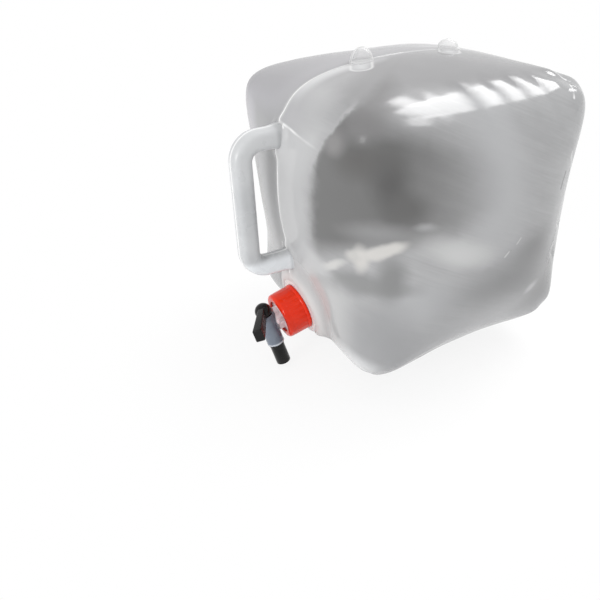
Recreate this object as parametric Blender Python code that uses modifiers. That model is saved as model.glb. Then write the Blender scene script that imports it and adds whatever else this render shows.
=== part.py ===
"""Collapsible water carrier: a blow-moulded cube-shaped bag with a loop handle,
a threaded neck, a red screw ring and a plug tap.

Metres, +Z up. The carrier stands on the XY plane at z = 0, the handle and the
tap are on its -Y side, and x = 0 is the plane of the mould's parting line.
"""
import math

import bmesh
import bpy
from mathutils import Matrix, Vector
from mathutils.bvhtree import BVHTree

# The bag, as a cage that is smoothed afterwards
bottom_half_width = 0.118       # from the middle to a bottom corner
top_half_width = 0.1205         # from the middle to a top corner
side_height = 0.236             # bottom corners to top corners
corner_lift = 0.021             # bottom corners above the ground
side_crown = 0.030              # how far each side panel swells
front_crown = 0.017
back_crown = 0.0305
top_crown = 0.0185
base_crown = 0.034              # swell of the underside before it stands flat
upright_draw = 0.0157           # upright edges drawn in at half height
bottom_draw = 0.0225            # bottom edges drawn in at the middle
front_bottom_draw = 0.010
bottom_edge_rise = 0.011
top_edge_draw = 0.005
top_end_dip = 0.002             # front and back top edges sag at the middle
front_lift = 0.0043             # top front edge raised
front_flare = 0.0134            # bottom front corners spread apart
front_toe = 0.006               # bottom front corners brought forward
front_tuck = 0.0105             # the one at -X set back
front_brow = 0.0064             # top front edge brought forward
neck_recess = 0.0145            # front panel set back around the neck
front_skew_share = 0.13         # crown of the front panel moved upwards
recess_side_share = 0.6
recess_level_share = 0.5        # the recess is this far below mid height
wall = 0.0012

# Hollow lugs on the parting line, on top
lug_radius = 0.0097
front_lug_height = 0.0115
back_lug_height = 0.0090
front_lug_place = -0.0472
back_lug_place = 0.0433

# Loop handle
handle_diameter = 0.0205
handle_wall = 0.0018
handle_top_height = 0.2226
handle_bottom_height = 0.109
finger_gap = 0.022
handle_bend = 0.015
handle_root_length = 0.010
handle_root_depth = 0.024
handle_root_share = 1.28

# Neck and its thread
neck_height = 0.0566
neck_tilt = math.radians(13.3)
neck_stand_off = 0.0048
boss_radius = 0.0303
boss_round = 0.004
boss_root = 0.030
neck_outer_radius = 0.0180
neck_bore_radius = 0.0155
neck_rise = 0.0170
thread_pitch = 0.0040
thread_bead = 0.0011
thread_sink = 0.0001
thread_start = 0.0050
thread_turns = 1.5
thread_end_share = 0.55

# Screw ring
cap_radius = 0.0230
cap_skirt_radius = 0.0223
cap_height = 0.0234
cap_bead_height = 0.0026
cap_bead_step = 0.0007
cap_shoulder = 0.0032
cap_hole_radius = 0.0160
cap_lip = 0.0022
cap_bore_radius = 0.0198
rib_width = 0.0022
rib_height = 0.0155
rib_proud = 0.0003
rib_phase_share = 0.5

# Gasket and tap
gasket_thickness = 0.0015
gasket_inner_radius = 0.0158
gasket_outer_radius = 0.0183
flange_radius = 0.0179
flange_thickness = 0.0018
stem_radius = 0.0062
water_way_radius = 0.0032
web_thickness = 0.0016
web_half_width = 0.0125
web_height = 0.0058
barrel_stand_off = 0.0119       # ring face to barrel axis
barrel_radius = 0.00825
barrel_bore_radius = 0.0072
barrel_upper = 0.0092           # barrel above the stem's axis
barrel_lower = 0.0223
tap_aim = math.radians(9.0)     # spout turned sideways from straight down

# Plug with its lever and spout
spout_reach = 0.0448            # stem's axis to the spout's open end
spout_bore_radius = 0.0049
plug_floor = 0.0050
snap_height = 0.0005
snap_width = 0.0010
hub_radius = 0.0080
hub_centre = 0.0132
lever_centre = 0.0146
lever_length = 0.0460
lever_root_width = 0.0088
lever_root_thickness = 0.0058
lever_tip_width = 0.0120
lever_tip_thickness = 0.0085
lever_round = 0.0012
lever_rest = math.radians(61.7)  # lever turned sideways from straight out

# Clearances and margins
gap = 0.0003                    # between pieces that touch
overrun = 0.004                 # cutters past what they cut
merge_distance = 0.0001
sharp_angle = math.radians(35)

# Counts
cage_cuts = 4
cage_levels = 2
fine_sides = 48
medium_sides = 32
small_sides = 20
bend_steps = 5
thread_points = 24
round_steps = 4
rib_count = 24
fine_bevel_steps = 2
round_bevel_steps = 4

RING_RED = (0.72, 0.045, 0.018)
NATURAL = (0.80, 0.81, 0.82)
BLUSH = (0.78, 0.70, 0.69)
BLACK = (0.018, 0.018, 0.019)
FOAM = (0.66, 0.66, 0.64)


def clear_scene():
    """Remove whatever the file holds."""
    for thing in list(bpy.data.objects):
        bpy.data.objects.remove(thing, do_unlink=True)
    for group in list(bpy.data.collections):
        bpy.data.collections.remove(group)


def new_collection(name):
    group = bpy.data.collections.new(name)
    bpy.context.scene.collection.children.link(group)
    return group


def plastic(name, colour, roughness, alpha=1.0):
    """A Principled material; alpha under 1 marks the translucent mouldings."""
    material = bpy.data.materials.new(name)
    material.use_nodes = True
    shader = material.node_tree.nodes["Principled BSDF"]
    shader.inputs["Base Color"].default_value = (*colour, 1.0)
    shader.inputs["Roughness"].default_value = roughness
    shader.inputs["Metallic"].default_value = 0.0
    shader.inputs["Alpha"].default_value = alpha
    material.diffuse_color = (*colour, alpha)
    return material


def add_object(name, mesh, group, parent=None):
    thing = bpy.data.objects.new(name, mesh)
    group.objects.link(thing)
    thing.parent = parent
    return thing


def as_cutter(thing):
    """Guides and cutters are wire frames that never render."""
    thing.hide_render = True
    thing.display_type = "WIRE"
    return thing


def evaluated_mesh(thing, name):
    """The object's mesh with its modifiers applied, in its own space."""
    bpy.context.view_layer.update()
    graph = bpy.context.evaluated_depsgraph_get()
    mesh = bpy.data.meshes.new_from_object(thing.evaluated_get(graph))
    mesh.name = name
    return mesh


def boolean(thing, other, operation):
    modifier = thing.modifiers.new(f"{operation.lower()}_{other.name}", "BOOLEAN")
    modifier.operation = operation
    modifier.object = other
    modifier.solver = "EXACT"
    return modifier


def finish(thing, material):
    """Smooth shading with sharp corners kept, and the piece's material."""
    thing.data.materials.clear()
    thing.data.materials.append(material)
    thing.data.shade_smooth()
    thing.data.set_sharp_from_angle(angle=sharp_angle)
    return thing


def turned(name, profile, sides, group, parent=None, closed=True):
    """Turn a profile of (radius, height) points about the local Z axis.

    The points run down the outer side. A closed profile makes a ring; an open
    one begins and ends on the axis.
    """
    mesh = bpy.data.meshes.new(name)
    count = len(profile)
    edges = [(i, i + 1) for i in range(count - 1)]
    if closed:
        edges.append((count - 1, 0))
    mesh.from_pydata([(radius, 0.0, height) for radius, height in profile], edges, [])
    thing = add_object(name, mesh, group, parent)
    screw = thing.modifiers.new("turn", "SCREW")
    screw.axis = "Z"
    screw.steps = sides
    screw.render_steps = sides
    screw.use_merge_vertices = True
    screw.merge_threshold = merge_distance
    return thing


def rod(name, radius, low, high, sides, group, parent=None):
    """A plain cylinder along local Z between two heights."""
    mesh = bpy.data.meshes.new(name)
    shape = bmesh.new()
    bmesh.ops.create_cone(
        shape, cap_ends=True, segments=sides, radius1=radius, radius2=radius, depth=high - low
    )
    bmesh.ops.translate(shape, verts=shape.verts, vec=(0.0, 0.0, (low + high) / 2))
    shape.to_mesh(mesh)
    shape.free()
    return add_object(name, mesh, group, parent)


def block(name, size, centre, group, parent=None):
    mesh = bpy.data.meshes.new(name)
    shape = bmesh.new()
    bmesh.ops.create_cube(shape, size=1)
    bmesh.ops.scale(shape, verts=shape.verts, vec=size)
    bmesh.ops.translate(shape, verts=shape.verts, vec=centre)
    shape.to_mesh(mesh)
    shape.free()
    return add_object(name, mesh, group, parent)


def tube_mesh(name, points, radius, shares, bevel, group):
    """Sweep a round section along points, and return it as a welded mesh.

    Each point's section is the radius times its share; bevel sets its sides.
    """
    curve = bpy.data.curves.new(name, "CURVE")
    curve.dimensions = "3D"
    curve.bevel_depth = radius
    curve.bevel_resolution = bevel
    curve.use_fill_caps = True
    spline = curve.splines.new("POLY")
    spline.points.add(len(points) - 1)
    for point, place, share in zip(spline.points, points, shares):
        point.co = (*place, 1.0)
        point.radius = share
    guide = bpy.data.objects.new(f"{name}_path", curve)
    group.objects.link(guide)
    mesh = evaluated_mesh(guide, name)
    bpy.data.objects.remove(guide, do_unlink=True)
    shape = bmesh.new()
    shape.from_mesh(mesh)
    bmesh.ops.remove_doubles(shape, verts=shape.verts, dist=merge_distance / 10)
    shape.to_mesh(mesh)
    shape.free()
    return mesh


def corner_arc(centre, radius, start, end):
    """Points in the YZ plane along an arc, both ends included."""
    points = []
    for step in range(bend_steps + 1):
        angle = start + (end - start) * step / bend_steps
        points.append(centre + radius * Vector((0.0, math.cos(angle), math.sin(angle))))
    return points


def bulge(share):
    """1 in the middle of a panel, 0 at its edges."""
    return 1 - share * share


def bag_point(across, along, up):
    """Place a point of the unit cage (each value from -1 to 1) on the bag.

    The panels swell in the middle, the edges between the corners are drawn in,
    and the front has a fuller brow and a recess around the neck.
    """
    rise = (up + 1) / 2
    low = (1 - rise) ** 3
    high = rise ** 3
    is_front = along < 0
    half = bottom_half_width + (top_half_width - bottom_half_width) * rise
    side = half + front_flare * low * (1 - along) / 2
    side += side_crown * bulge(along) * bulge(up)
    side -= upright_draw * bulge(up) * along ** 4
    side -= bottom_draw * bulge(along) * low
    side -= top_edge_draw * bulge(along) * high

    depth = half
    if is_front:
        depth += front_toe * low * (1 - rise) + front_brow * high
        depth -= front_tuck * (1 - rise) * max(-across, 0.0)
        crown = front_crown * (1 + front_skew_share * up)
        draw = front_bottom_draw
    else:
        crown = back_crown
        draw = bottom_draw
    depth += crown * bulge(across) * bulge(up)
    depth -= upright_draw * bulge(up) * across ** 4
    depth -= draw * bulge(across) * low
    depth -= top_edge_draw * bulge(across) * high

    edges = bulge(along) * across ** 4 + bulge(across) * along ** 4
    height = corner_lift + side_height * rise
    height += high * top_crown * bulge(across) * bulge(along)
    height -= high * top_end_dip * bulge(across) * along ** 4
    height += high * front_lift * max(-along, 0.0)
    height += low * (bottom_edge_rise * edges - base_crown * bulge(across) * bulge(along))

    place = Vector((across * side, along * depth, height))
    on_front = along == -1
    beside_neck = abs(across) <= recess_level_share and up == -recess_level_share
    if on_front and beside_neck:
        place.y += neck_recess * (1 if across == 0 else recess_side_share)
    return place


def bag_surface(group):
    """The bag's outer surface, closed and smoothed, standing flat on z = 0."""
    mesh = bpy.data.meshes.new("bag_cage")
    shape = bmesh.new()
    bmesh.ops.create_cube(shape, size=2)
    bmesh.ops.subdivide_edges(
        shape, edges=shape.edges[:], cuts=cage_cuts - 1, use_grid_fill=True
    )
    for vert in shape.verts:
        vert.co = bag_point(*vert.co)
    shape.to_mesh(mesh)
    shape.free()
    cage = as_cutter(add_object("bag_cage", mesh, group))
    smooth = cage.modifiers.new("smooth", "SUBSURF")
    smooth.levels = cage_levels
    smooth.render_levels = cage_levels
    surface = evaluated_mesh(cage, "bag_surface")
    for vert in surface.vertices:
        vert.co.z = max(vert.co.z, 0.0)
    return surface


def offset_bag(name, surface, distance, group):
    """A closed copy of the bag, moved along its normals."""
    thing = as_cutter(add_object(name, surface.copy(), group))
    displace = thing.modifiers.new("offset", "DISPLACE")
    displace.strength = distance
    displace.mid_level = 0.0
    displace.direction = "NORMAL"
    return thing


def helix(radius, start):
    """Points of one thread, and the share of its bead at each of them."""
    count = round(thread_points * thread_turns)
    points = []
    shares = []
    for step in range(count + 1):
        turn = step / thread_points
        angle = math.tau * turn
        points.append(
            Vector((radius * math.cos(angle), radius * math.sin(angle), start + thread_pitch * turn))
        )
        shares.append(thread_end_share if step in (0, count) else 1.0)
    return points, shares


def dome(name, radius, height, centre, group):
    """An upright ellipsoid: round in plan, as tall as asked above its centre."""
    mesh = bpy.data.meshes.new(name)
    shape = bmesh.new()
    bmesh.ops.create_uvsphere(
        shape, u_segments=small_sides, v_segments=small_sides // 2, radius=radius
    )
    for vert in shape.verts:
        vert.co.z *= height / radius
        vert.co += centre
    shape.to_mesh(mesh)
    shape.free()
    return as_cutter(add_object(name, mesh, group))


def make_body_shell(surface, neck_axis, parts, cutters, tree):
    """The bag itself: a thin wall, open only at the neck, with two lugs on top."""
    shell = add_object("body_shell", surface.copy(), parts)
    hollows = []
    for name, place, height in (
        ("front_lug", front_lug_place, front_lug_height),
        ("back_lug", back_lug_place, back_lug_height),
    ):
        hit = tree.ray_cast(Vector((0.0, place, 2 * side_height)), Vector((0.0, 0.0, -1.0)))[0]
        boolean(shell, dome(name, lug_radius, height, hit, cutters), "UNION")
        hollows.append(dome(name + "_inside", lug_radius - wall, height - wall, hit, cutters))
    boolean(shell, offset_bag("bag_inside", surface, -wall, cutters), "DIFFERENCE")
    for hollow in hollows:
        boolean(shell, hollow, "DIFFERENCE")
    hole = as_cutter(
        rod("neck_hole", neck_bore_radius, -boss_root, boss_root, fine_sides, cutters, neck_axis)
    )
    boolean(shell, hole, "DIFFERENCE")
    return finish(shell, plastic("natural_film", NATURAL, 0.3, 0.45))


def make_handle(tree, clearance, parts, cutters):
    """The hollow loop: two bars out of the front ridge and an upright grip."""
    middle = (handle_top_height + handle_bottom_height) / 2
    ridge = front_of_bag(tree, middle)
    grip = ridge - finger_gap - handle_diameter / 2
    top_root = front_of_bag(tree, handle_top_height)
    bottom_root = front_of_bag(tree, handle_bottom_height)

    def run_in(root, height):
        """Straight run from inside the bag out to the end of the flare."""
        half = handle_root_length / 2
        steps = (handle_root_depth, half, -half, -handle_root_length)
        return [Vector((0.0, root + step, height)) for step in steps]

    flare_shares = (handle_root_share, handle_root_share, (1 + handle_root_share) / 2, 1.0)
    bend_y = grip + handle_bend
    top_bend = Vector((0.0, bend_y, handle_top_height - handle_bend))
    bottom_bend = Vector((0.0, bend_y, handle_bottom_height + handle_bend))
    points = run_in(top_root, handle_top_height)
    points += corner_arc(top_bend, handle_bend, math.pi / 2, math.pi)
    points += corner_arc(bottom_bend, handle_bend, math.pi, 3 * math.pi / 2)
    points += reversed(run_in(bottom_root, handle_bottom_height))
    plain = [1.0] * (2 * (bend_steps + 1))
    shares = [*flare_shares, *plain, *reversed(flare_shares)]

    outer_radius = handle_diameter / 2
    outer = tube_mesh("carry_handle", points, outer_radius, shares, round_bevel_steps, cutters)
    handle = add_object("carry_handle", outer, parts)
    longer = list(points)
    longer[0] = longer[0] + Vector((0.0, overrun, 0.0))
    longer[-1] = longer[-1] + Vector((0.0, overrun, 0.0))
    inner_radius = outer_radius - handle_wall
    inner = tube_mesh("handle_bore", longer, inner_radius, shares, round_bevel_steps, cutters)
    boolean(handle, as_cutter(add_object("handle_bore", inner, cutters)), "DIFFERENCE")
    boolean(handle, clearance, "DIFFERENCE")
    return finish(handle, plastic("natural_handle", NATURAL, 0.3, 0.7))


def front_of_bag(tree, height):
    """Where the bag's front ridge is at a height, as a Y value."""
    origin = Vector((0.0, -2 * bottom_half_width, height))
    return tree.ray_cast(origin, Vector((0.0, 1.0, 0.0)))[0].y


def make_neck(neck_axis, clearance, parts, cutters):
    """Boss and threaded neck, blow-moulded with the bag and trimmed to its skin."""
    profile = [(neck_bore_radius, neck_rise), (neck_outer_radius, neck_rise)]
    profile.append((neck_outer_radius, 0.0))
    for step in range(round_steps + 1):
        angle = math.pi / 2 * (1 - step / round_steps)
        profile.append(
            (
                boss_radius - boss_round * (1 - math.cos(angle)),
                -boss_round * (1 - math.sin(angle)),
            )
        )
    profile += [(boss_radius, -boss_root), (neck_bore_radius, -boss_root)]
    neck = turned("neck", profile, fine_sides, parts, neck_axis)
    points, shares = helix(neck_outer_radius + thread_sink, thread_start)
    mesh = tube_mesh("neck_thread", points, thread_bead, shares, fine_bevel_steps, cutters)
    thread = as_cutter(add_object("neck_thread", mesh, cutters, neck_axis))
    boolean(neck, thread, "UNION")
    boolean(neck, clearance, "DIFFERENCE")
    return finish(neck, plastic("natural_neck", BLUSH, 0.35, 0.75))


def make_cap_ring(neck_axis, parts, cutters):
    """Open screw ring: ribbed skirt, base bead, round shoulder and inner lip."""
    top = cap_height
    profile = [(cap_hole_radius, top)]
    for step in range(round_steps + 1):
        angle = math.pi / 2 * (1 - step / round_steps)
        profile.append(
            (
                cap_skirt_radius - cap_shoulder * (1 - math.cos(angle)),
                top - cap_shoulder * (1 - math.sin(angle)),
            )
        )
    profile.append((cap_skirt_radius, cap_bead_height + cap_bead_step))
    profile.append((cap_radius, cap_bead_height))
    profile.append((cap_radius, gap))
    profile.append((cap_bore_radius, gap))
    profile.append((cap_bore_radius, top - cap_lip))
    profile.append((cap_hole_radius, top - cap_lip))
    ring = turned("cap_ring", profile, fine_sides, parts, neck_axis)

    ribs = bmesh.new()
    wall_middle = (cap_bore_radius + cap_skirt_radius) / 2
    depth = cap_skirt_radius + rib_proud - wall_middle
    for index in range(rib_count):
        made = bmesh.ops.create_cube(ribs, size=1)["verts"]
        bmesh.ops.scale(ribs, verts=made, vec=(depth, rib_width, rib_height))
        centre = (wall_middle + depth / 2, 0.0, (cap_bead_height + rib_height) / 2)
        bmesh.ops.translate(ribs, verts=made, vec=centre)
        turn = Matrix.Rotation(math.tau * (index + rib_phase_share) / rib_count, 3, "Z")
        bmesh.ops.rotate(ribs, verts=made, cent=(0.0, 0.0, 0.0), matrix=turn)
    mesh = bpy.data.meshes.new("cap_ribs")
    ribs.to_mesh(mesh)
    ribs.free()
    boolean(ring, as_cutter(add_object("cap_ribs", mesh, cutters, neck_axis)), "UNION")

    points, shares = helix(cap_bore_radius - thread_sink, thread_start + thread_pitch / 2)
    mesh = tube_mesh("cap_thread", points, thread_bead, shares, fine_bevel_steps, cutters)
    boolean(ring, as_cutter(add_object("cap_thread", mesh, cutters, neck_axis)), "UNION")
    return finish(ring, plastic("ring_red", RING_RED, 0.3))


def make_gasket(neck_axis, parts):
    low = neck_rise + gap
    high = low + gasket_thickness
    profile = [
        (gasket_inner_radius, high),
        (gasket_outer_radius, high),
        (gasket_outer_radius, low),
        (gasket_inner_radius, low),
    ]
    gasket = turned("cap_gasket", profile, fine_sides, parts, neck_axis)
    return finish(gasket, plastic("foam", FOAM, 0.8))


def make_tap_body(tap_axis, barrel_axis, parts, cutters):
    """Flange, webbed stem and open barrel in one moulding."""
    low = neck_rise + gasket_thickness + 2 * gap
    high = low + flange_thickness
    stem_top = cap_height + barrel_stand_off
    body = rod("tap_body", flange_radius, low, high, fine_sides, parts, tap_axis)
    stem = rod("tap_stem", stem_radius, low + gap, stem_top, medium_sides, cutters, tap_axis)
    barrel = rod(
        "tap_barrel", barrel_radius, -barrel_upper, barrel_lower, medium_sides, cutters, barrel_axis
    )
    web_size = (2 * web_half_width, web_thickness, web_height)
    web_centre = (0.0, 0.0, high + web_height / 2 - gap)
    web_across = block("tap_web_across", web_size, web_centre, cutters, tap_axis)
    turned_size = (web_thickness, 2 * web_half_width, web_height)
    web_along = block("tap_web_along", turned_size, web_centre, cutters, tap_axis)
    for piece in (stem, barrel, web_across, web_along):
        boolean(body, as_cutter(piece), "UNION")
    bore = rod(
        "barrel_bore",
        barrel_bore_radius,
        -barrel_upper - overrun,
        barrel_lower + overrun,
        medium_sides,
        cutters,
        barrel_axis,
    )
    way = rod(
        "water_way", water_way_radius, low - overrun, stem_top, small_sides, cutters, tap_axis
    )
    boolean(body, as_cutter(bore), "DIFFERENCE")
    boolean(body, as_cutter(way), "DIFFERENCE")
    return finish(body, plastic("natural_tap", BLUSH, 0.35, 0.7))


def make_tap_core(barrel_axis, parts, cutters):
    """Rotating plug: domed hub and lever at one end, open spout at the other."""
    plug_radius = barrel_bore_radius - gap
    face = barrel_upper + gap
    profile = []
    dome_start = math.acos((hub_centre - face) / hub_radius)
    for step in range(2 * round_steps + 1):
        angle = dome_start + (math.pi - dome_start) * step / (2 * round_steps)
        profile.append((hub_radius * math.sin(angle), -hub_centre + hub_radius * math.cos(angle)))
    snap = barrel_lower + gap
    profile = [
        (0.0, -plug_floor),
        (spout_bore_radius, -plug_floor),
        (spout_bore_radius, spout_reach),
        (plug_radius, spout_reach),
        (plug_radius, snap + snap_width),
        (plug_radius + snap_height + gap, snap + snap_width),
        (plug_radius + snap_height + gap, snap),
        (plug_radius, snap),
        (plug_radius, -face),
        *profile,
    ]
    core = turned("tap_core", profile, medium_sides, parts, barrel_axis, closed=False)

    # The lever starts inside the hub and widens towards its tip.
    mesh = bpy.data.meshes.new("lever")
    shape = bmesh.new()
    bmesh.ops.create_cube(shape, size=1)
    for vert in shape.verts:
        at_tip = vert.co.y > 0
        thickness = lever_tip_thickness if at_tip else lever_root_thickness
        width = lever_tip_width if at_tip else lever_root_width
        vert.co.x *= thickness
        vert.co.z = vert.co.z * width - lever_centre
        vert.co.y = lever_length if at_tip else 0.0
    turn = Matrix.Rotation(-lever_rest, 3, "Z")
    bmesh.ops.rotate(shape, verts=shape.verts, cent=(0.0, 0.0, 0.0), matrix=turn)
    shape.to_mesh(mesh)
    shape.free()
    lever = as_cutter(add_object("lever", mesh, cutters, barrel_axis))
    soften = lever.modifiers.new("round", "BEVEL")
    soften.width = lever_round
    soften.segments = 2
    boolean(core, lever, "UNION")

    # The side port faces away from the lever, so it meets the stem when the
    # lever points straight out.
    port = rod("side_port", water_way_radius, 0.0, barrel_radius, small_sides, cutters, barrel_axis)
    away = Matrix.Rotation(-lever_rest, 4, "Z") @ Matrix.Rotation(math.pi / 2, 4, "X")
    port.data.transform(away)
    boolean(core, as_cutter(port), "DIFFERENCE")
    return finish(core, plastic("tap_black", BLACK, 0.35))


def main():
    clear_scene()
    parts = new_collection("water_carrier")
    cutters = new_collection("cutters")

    surface = bag_surface(cutters)
    reader = bmesh.new()
    reader.from_mesh(surface)
    tree = BVHTree.FromBMesh(reader)
    reader.free()
    clearance = offset_bag("bag_clearance", surface, gap, cutters)

    # The neck's local Z points out of the neck, its local Y up the front.
    outward = Vector((0.0, -math.cos(neck_tilt), -math.sin(neck_tilt)))
    seat = Vector((0.0, front_of_bag(tree, neck_height), neck_height))
    neck_axis = bpy.data.objects.new("neck_axis", None)
    neck_axis.location = seat + outward * neck_stand_off
    neck_axis.rotation_euler = (math.pi / 2 + neck_tilt, 0.0, 0.0)
    parts.objects.link(neck_axis)

    # The tap shares the neck's axis, turned about it to aim the spout.
    tap_axis = bpy.data.objects.new("tap_axis", None)
    tap_axis.parent = neck_axis
    tap_axis.rotation_euler = (0.0, 0.0, tap_aim)
    parts.objects.link(tap_axis)

    # The barrel's local Z points down the spout, its local Y out of the neck.
    barrel_axis = bpy.data.objects.new("barrel_axis", None)
    barrel_axis.parent = tap_axis
    barrel_axis.location = (0.0, 0.0, cap_height + barrel_stand_off)
    barrel_axis.rotation_euler = (math.pi / 2, 0.0, 0.0)
    parts.objects.link(barrel_axis)

    make_body_shell(surface, neck_axis, parts, cutters, tree)
    make_handle(tree, clearance, parts, cutters)
    make_neck(neck_axis, clearance, parts, cutters)
    make_cap_ring(neck_axis, parts, cutters)
    make_gasket(neck_axis, parts)
    make_tap_body(tap_axis, barrel_axis, parts, cutters)
    make_tap_core(barrel_axis, parts, cutters)


main()
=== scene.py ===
import math

import bmesh
import bpy
import numpy as np
from mathutils import Matrix, Quaternion, Vector, noise
from mathutils.bvhtree import BVHTree


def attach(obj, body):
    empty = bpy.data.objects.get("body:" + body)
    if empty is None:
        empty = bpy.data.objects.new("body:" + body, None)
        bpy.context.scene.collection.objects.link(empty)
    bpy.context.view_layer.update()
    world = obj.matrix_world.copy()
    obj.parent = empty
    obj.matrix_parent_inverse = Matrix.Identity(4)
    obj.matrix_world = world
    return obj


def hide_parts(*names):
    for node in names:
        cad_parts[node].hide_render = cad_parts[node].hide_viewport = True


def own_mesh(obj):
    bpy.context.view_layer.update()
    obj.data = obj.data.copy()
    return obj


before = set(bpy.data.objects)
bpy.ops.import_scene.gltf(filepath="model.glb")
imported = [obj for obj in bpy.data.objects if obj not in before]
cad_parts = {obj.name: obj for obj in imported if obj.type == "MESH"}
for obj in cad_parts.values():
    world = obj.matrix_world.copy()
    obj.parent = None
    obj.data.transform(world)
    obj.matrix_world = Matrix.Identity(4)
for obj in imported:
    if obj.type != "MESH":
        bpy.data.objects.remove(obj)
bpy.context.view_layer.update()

# The bag
# A soft cube of thin low-density polyethylene, blow-moulded in two halves that
# meet in the plane x = 0. It holds the water, stands on its sagging underside
# and folds front to back when it is empty.
bottom_half_width = 0.118
top_half_width = 0.1205
side_height = 0.236
corner_lift = 0.021
side_crown = 0.030
front_crown = 0.017
back_crown = 0.0305
top_crown = 0.0185
base_crown = 0.034
upright_draw = 0.0157
bottom_draw = 0.0225
front_bottom_draw = 0.010
bottom_edge_rise = 0.011
top_edge_draw = 0.005
top_end_dip = 0.002
front_lift = 0.0043
front_flare = 0.0134
front_toe = 0.006
front_tuck = 0.0105
front_brow = 0.0064
neck_recess = 0.0145
bag_middle = 0.14

neck_tilt = math.radians(13.3)
neck_place = (
    Matrix.Translation((0.0, -0.117529, 0.055496))
    @ Matrix.Rotation(math.pi / 2 + neck_tilt, 4, "X")
)
handle_top = 0.2226
handle_bottom = 0.109
corner_marks = [
    (0.099, 0.089, 0.2555, 0.0034),
    (-0.100, 0.091, 0.254, 0.0030),
    (0.103, 0.098, 0.036, 0.0022),
    (-0.103, 0.098, 0.036, 0.0026),
    (0.111, -0.112, 0.031, 0.0012),
    (-0.110, -0.104, 0.031, 0.0016),
]


def shown(name, mesh):
    """Put a mesh in the scene under a piece's name."""
    mesh.name = name
    piece = bpy.data.objects.new(name, mesh)
    bpy.context.scene.collection.objects.link(piece)
    return piece


def meshed(name, shape):
    """Store a shape as a mesh and let go of it."""
    mesh = bpy.data.meshes.new(name)
    shape.to_mesh(mesh)
    shape.free()
    return mesh


def faced_outward(mesh):
    """Turn every face of a closed mesh outward."""
    shape = bmesh.new()
    shape.from_mesh(mesh)
    bmesh.ops.recalc_face_normals(shape, faces=shape.faces)
    shape.to_mesh(mesh)
    shape.free()


def settled(piece):
    """Turn a piece's live modifiers into plain mesh."""
    bpy.context.view_layer.update()
    graph = bpy.context.evaluated_depsgraph_get()
    mesh = bpy.data.meshes.new_from_object(piece.evaluated_get(graph))
    mesh.name = piece.name
    piece.modifiers.clear()
    piece.data = mesh
    return piece


def bulge(share):
    """1 in the middle, 0 at both ends."""
    return 1 - share * share


def film_point(across, along, up):
    """Place a point of the unit cube (each value from -1 to 1) on the filled bag."""
    rise = (up + 1) / 2
    low = (1 - rise) ** 3
    high = rise ** 3
    half = bottom_half_width + (top_half_width - bottom_half_width) * rise
    side = half + front_flare * low * (1 - along) / 2
    side += side_crown * bulge(along) * bulge(up)
    side -= upright_draw * bulge(up) * along ** 4
    side -= bottom_draw * bulge(along) * low
    side -= top_edge_draw * bulge(along) * high
    depth = half
    if along < 0:
        depth += front_toe * low * (1 - rise) + front_brow * high
        depth -= front_tuck * (1 - rise) * max(-across, 0.0)
        crown = front_crown * (1 + 0.13 * up)
        draw = front_bottom_draw
    else:
        crown = back_crown
        draw = bottom_draw
    depth += crown * bulge(across) * bulge(up)
    depth -= upright_draw * bulge(up) * across ** 4
    depth -= draw * bulge(across) * low
    depth -= top_edge_draw * bulge(across) * high
    edges = bulge(along) * across ** 4 + bulge(across) * along ** 4
    height = corner_lift + side_height * rise
    height += high * top_crown * bulge(across) * bulge(along)
    height -= high * top_end_dip * bulge(across) * along ** 4
    height += high * front_lift * max(-along, 0.0)
    height += low * (bottom_edge_rise * edges - base_crown * bulge(across) * bulge(along))
    place = Vector((across * side, along * depth, height))
    if along == -1 and abs(across) <= 0.5 and up == -0.5:
        place.y += neck_recess * (1 if across == 0 else 0.6)
    return place


def blown_cube(name, levels):
    """The moulded film before its creases: a smoothed cage standing flat on the ground."""
    shape = bmesh.new()
    bmesh.ops.create_cube(shape, size=2)
    bmesh.ops.subdivide_edges(shape, edges=shape.edges[:], cuts=3, use_grid_fill=True)
    for vert in shape.verts:
        vert.co = film_point(*vert.co)
    piece = shown(name, meshed(name, shape))
    smooth = piece.modifiers.new("smooth", "SUBSURF")
    smooth.levels = levels
    smooth.render_levels = levels
    return settled(piece)


def read_points(mesh):
    points = np.zeros(len(mesh.vertices) * 3)
    mesh.vertices.foreach_get("co", points)
    normals = np.zeros(len(mesh.vertices) * 3)
    mesh.vertices.foreach_get("normal", normals)
    return points.reshape(-1, 3), normals.reshape(-1, 3)


def swell(points, centre, spread):
    """1 at the centre, fading over the spread on each axis."""
    return np.exp(-np.sum(((points - np.array(centre)) / np.array(spread)) ** 2, axis=1))


def crease(points, start, end, width):
    """1 along the line from start to end, fading over its width."""
    a, b = np.array(start), np.array(end)
    run = b - a
    share = np.clip(((points - a) @ run) / (run @ run), 0, 1)
    away = points - (a + share[:, None] * run)
    taper = np.sin(np.pi * np.clip(share, 0.04, 0.96))
    return taper * np.exp(-np.sum(away ** 2, axis=1) / width ** 2)


def unevenness(points, scale, seed):
    """Smooth random height, about -1 to 1, in waves of the given length."""
    return np.array([noise.noise(Vector(p) / scale + Vector((seed, 0, 0))) for p in points])


film = blown_cube("bag_film", 5)
points, normals = read_points(film.data)
out = 0.0011 * unevenness(points, 0.085, 3.1) + 0.00035 * unevenness(points, 0.034, 8.7)

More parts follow.
